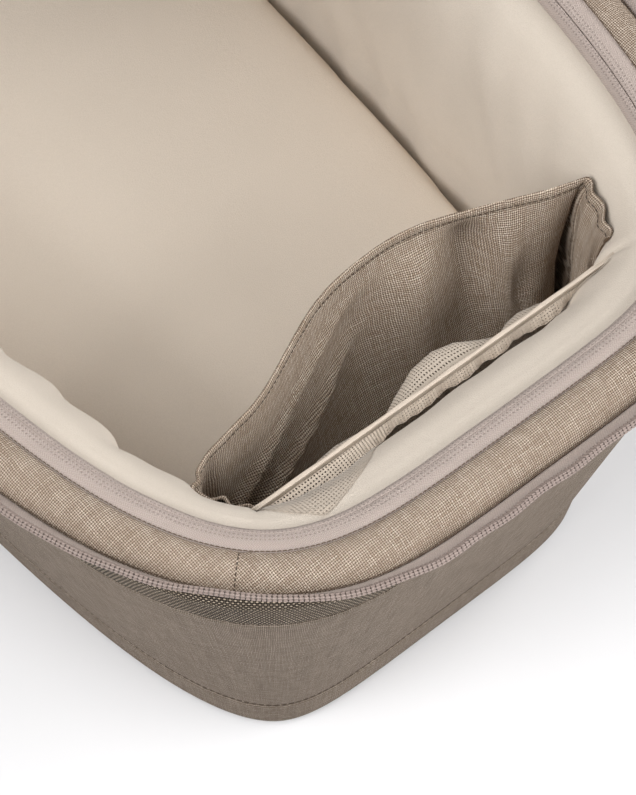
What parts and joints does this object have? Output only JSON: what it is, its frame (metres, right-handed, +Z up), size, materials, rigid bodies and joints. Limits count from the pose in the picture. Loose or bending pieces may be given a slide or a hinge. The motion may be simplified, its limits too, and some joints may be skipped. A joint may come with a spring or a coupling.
{
  "type": "carrycot",
  "caption": "Carrycot with a stiff base, padded lined walls, a zipped linen rim, foot pockets, a folding hood, a swinging carry handle and chassis adaptors.",
  "frame": {"origin": "centre of the bounding box on the floor under the cot", "axes": "+X along the cot towards the foot end, +Y towards the cot's left side, +Z up"},
  "size_m": [0.8684, 0.4326, 0.632],
  "materials": {
    "linen": "coarse slub linen with pale warp threads",
    "side_cloth": "smooth dull cloth",
    "vent_weave": "open coarse weave",
    "cream_jersey": "soft knitted jersey",
    "mattress_jersey": "soft knitted jersey",
    "net": "fine net and flat elastic",
    "zip_tape": "woven tape",
    "zip_teeth": "moulded, slightly glossy",
    "foam": "open foam",
    "black_plastic": "moulded, fine grain",
    "button_plastic": "moulded, fine grain",
    "rubber": "dull",
    "aluminium": "satin",
    "slider_metal": "dark nickel",
    "screw_steel": "zinc plated",
    "board": "plain hardboard",
    "leatherette": "fine grain, stitched"
  },
  "bodies": {
    "cot": {"base_tray": "black_plastic", "foot_pad_foot_left": "rubber", "foot_pad_foot_right": "rubber", "foot_pad_head_left": "rubber", "foot_pad_head_right": "rubber", "side_stay_foot_left": "black_plastic", "side_stay_foot_right": "black_plastic", "side_stay_head_left": "black_plastic", "side_stay_head_right": "black_plastic", "end_stay_foot": "black_plastic", "end_stay_head": "black_plastic", "rim_frame": "aluminium", "mattress_board": "board", "mattress": "mattress_jersey", "liner": "cream_jersey", "side_padding": "foam", "base_band": "side_cloth", "side_cover": "side_cloth", "vent_band": "vent_weave", "rim_cover": "linen", "inner_zip_outer_tape": "zip_tape", "inner_zip_inner_tape": "zip_tape", "inner_zip_coil": "zip_teeth", "inner_zip_slider": "slider_metal", "inner_zip_puller": "slider_metal", "open_zip_tape": "zip_tape", "open_zip_teeth": "zip_teeth", "open_zip_stop_left": "zip_teeth", "open_zip_stop_right": "zip_teeth", "foot_pocket": "linen", "net_pocket": "net", "net_pocket_elastic": "net", "hub_bracket_left": "black_plastic", "hub_bracket_right": "black_plastic", "hub_screw_front_left": "screw_steel", "hub_screw_front_right": "screw_steel", "hub_screw_rear_left": "screw_steel", "hub_screw_rear_right": "screw_steel", "hub_pin_left": "screw_steel", "hub_pin_right": "screw_steel", "hood_rear_panel": "linen", "adaptor_left": "black_plastic", "adaptor_right": "black_plastic"},
    "hood_middle": {"hood_middle_panel": "linen", "hood_middle_bow": "black_plastic"},
    "hood_front": {"hood_front_panel": "linen", "hood_front_bow": "black_plastic"},
    "handle": {"carry_handle": "black_plastic", "handle_grip": "leatherette"},
    "handle_button_left": {"handle_button_left": "button_plastic"},
    "handle_button_right": {"handle_button_right": "button_plastic"},
    "adaptor_button_left": {"adaptor_button_left": "button_plastic"},
    "adaptor_button_right": {"adaptor_button_right": "button_plastic"}
  },
  "joints": [
    {"name": "hood_fold", "type": "hinge", "parent": "cot", "child": "hood_middle", "pos_m": [-0.08602, 0, 0.253], "axis": [0, 1, 0], "range_deg": [-42, 0]},
    {"name": "hood_front_fold", "type": "hinge", "parent": "hood_middle", "child": "hood_front", "pos_m": [-0.08602, 0, 0.253], "axis": [0, 1, 0], "range_deg": [-45, 0]},
    {"name": "handle_swing", "type": "hinge", "parent": "cot", "child": "handle", "pos_m": [-0.08602, 0, 0.253], "axis": [0, 1, 0], "range_deg": [-75, 35]},
    {"name": "handle_button_left_press", "type": "slide", "parent": "handle", "child": "handle_button_left", "axis": [0, -1, 0], "range_m": [0, 0.0015], "stiffness_N_per_m": 800},
    {"name": "handle_button_right_press", "type": "slide", "parent": "handle", "child": "handle_button_right", "axis": [0, 1, 0], "range_m": [0, 0.0015], "stiffness_N_per_m": 800},
    {"name": "adaptor_button_left_press", "type": "slide", "parent": "cot", "child": "adaptor_button_left", "axis": [0, -1, 0], "range_m": [0, 0.003], "stiffness_N_per_m": 800},
    {"name": "adaptor_button_right_press", "type": "slide", "parent": "cot", "child": "adaptor_button_right", "axis": [0, 1, 0], "range_m": [0, 0.003], "stiffness_N_per_m": 800}
  ],
  "couplings": [
    {"joint": "hood_front_fold", "follows": "hood_fold", "ratio": 1.0714}
  ]
}
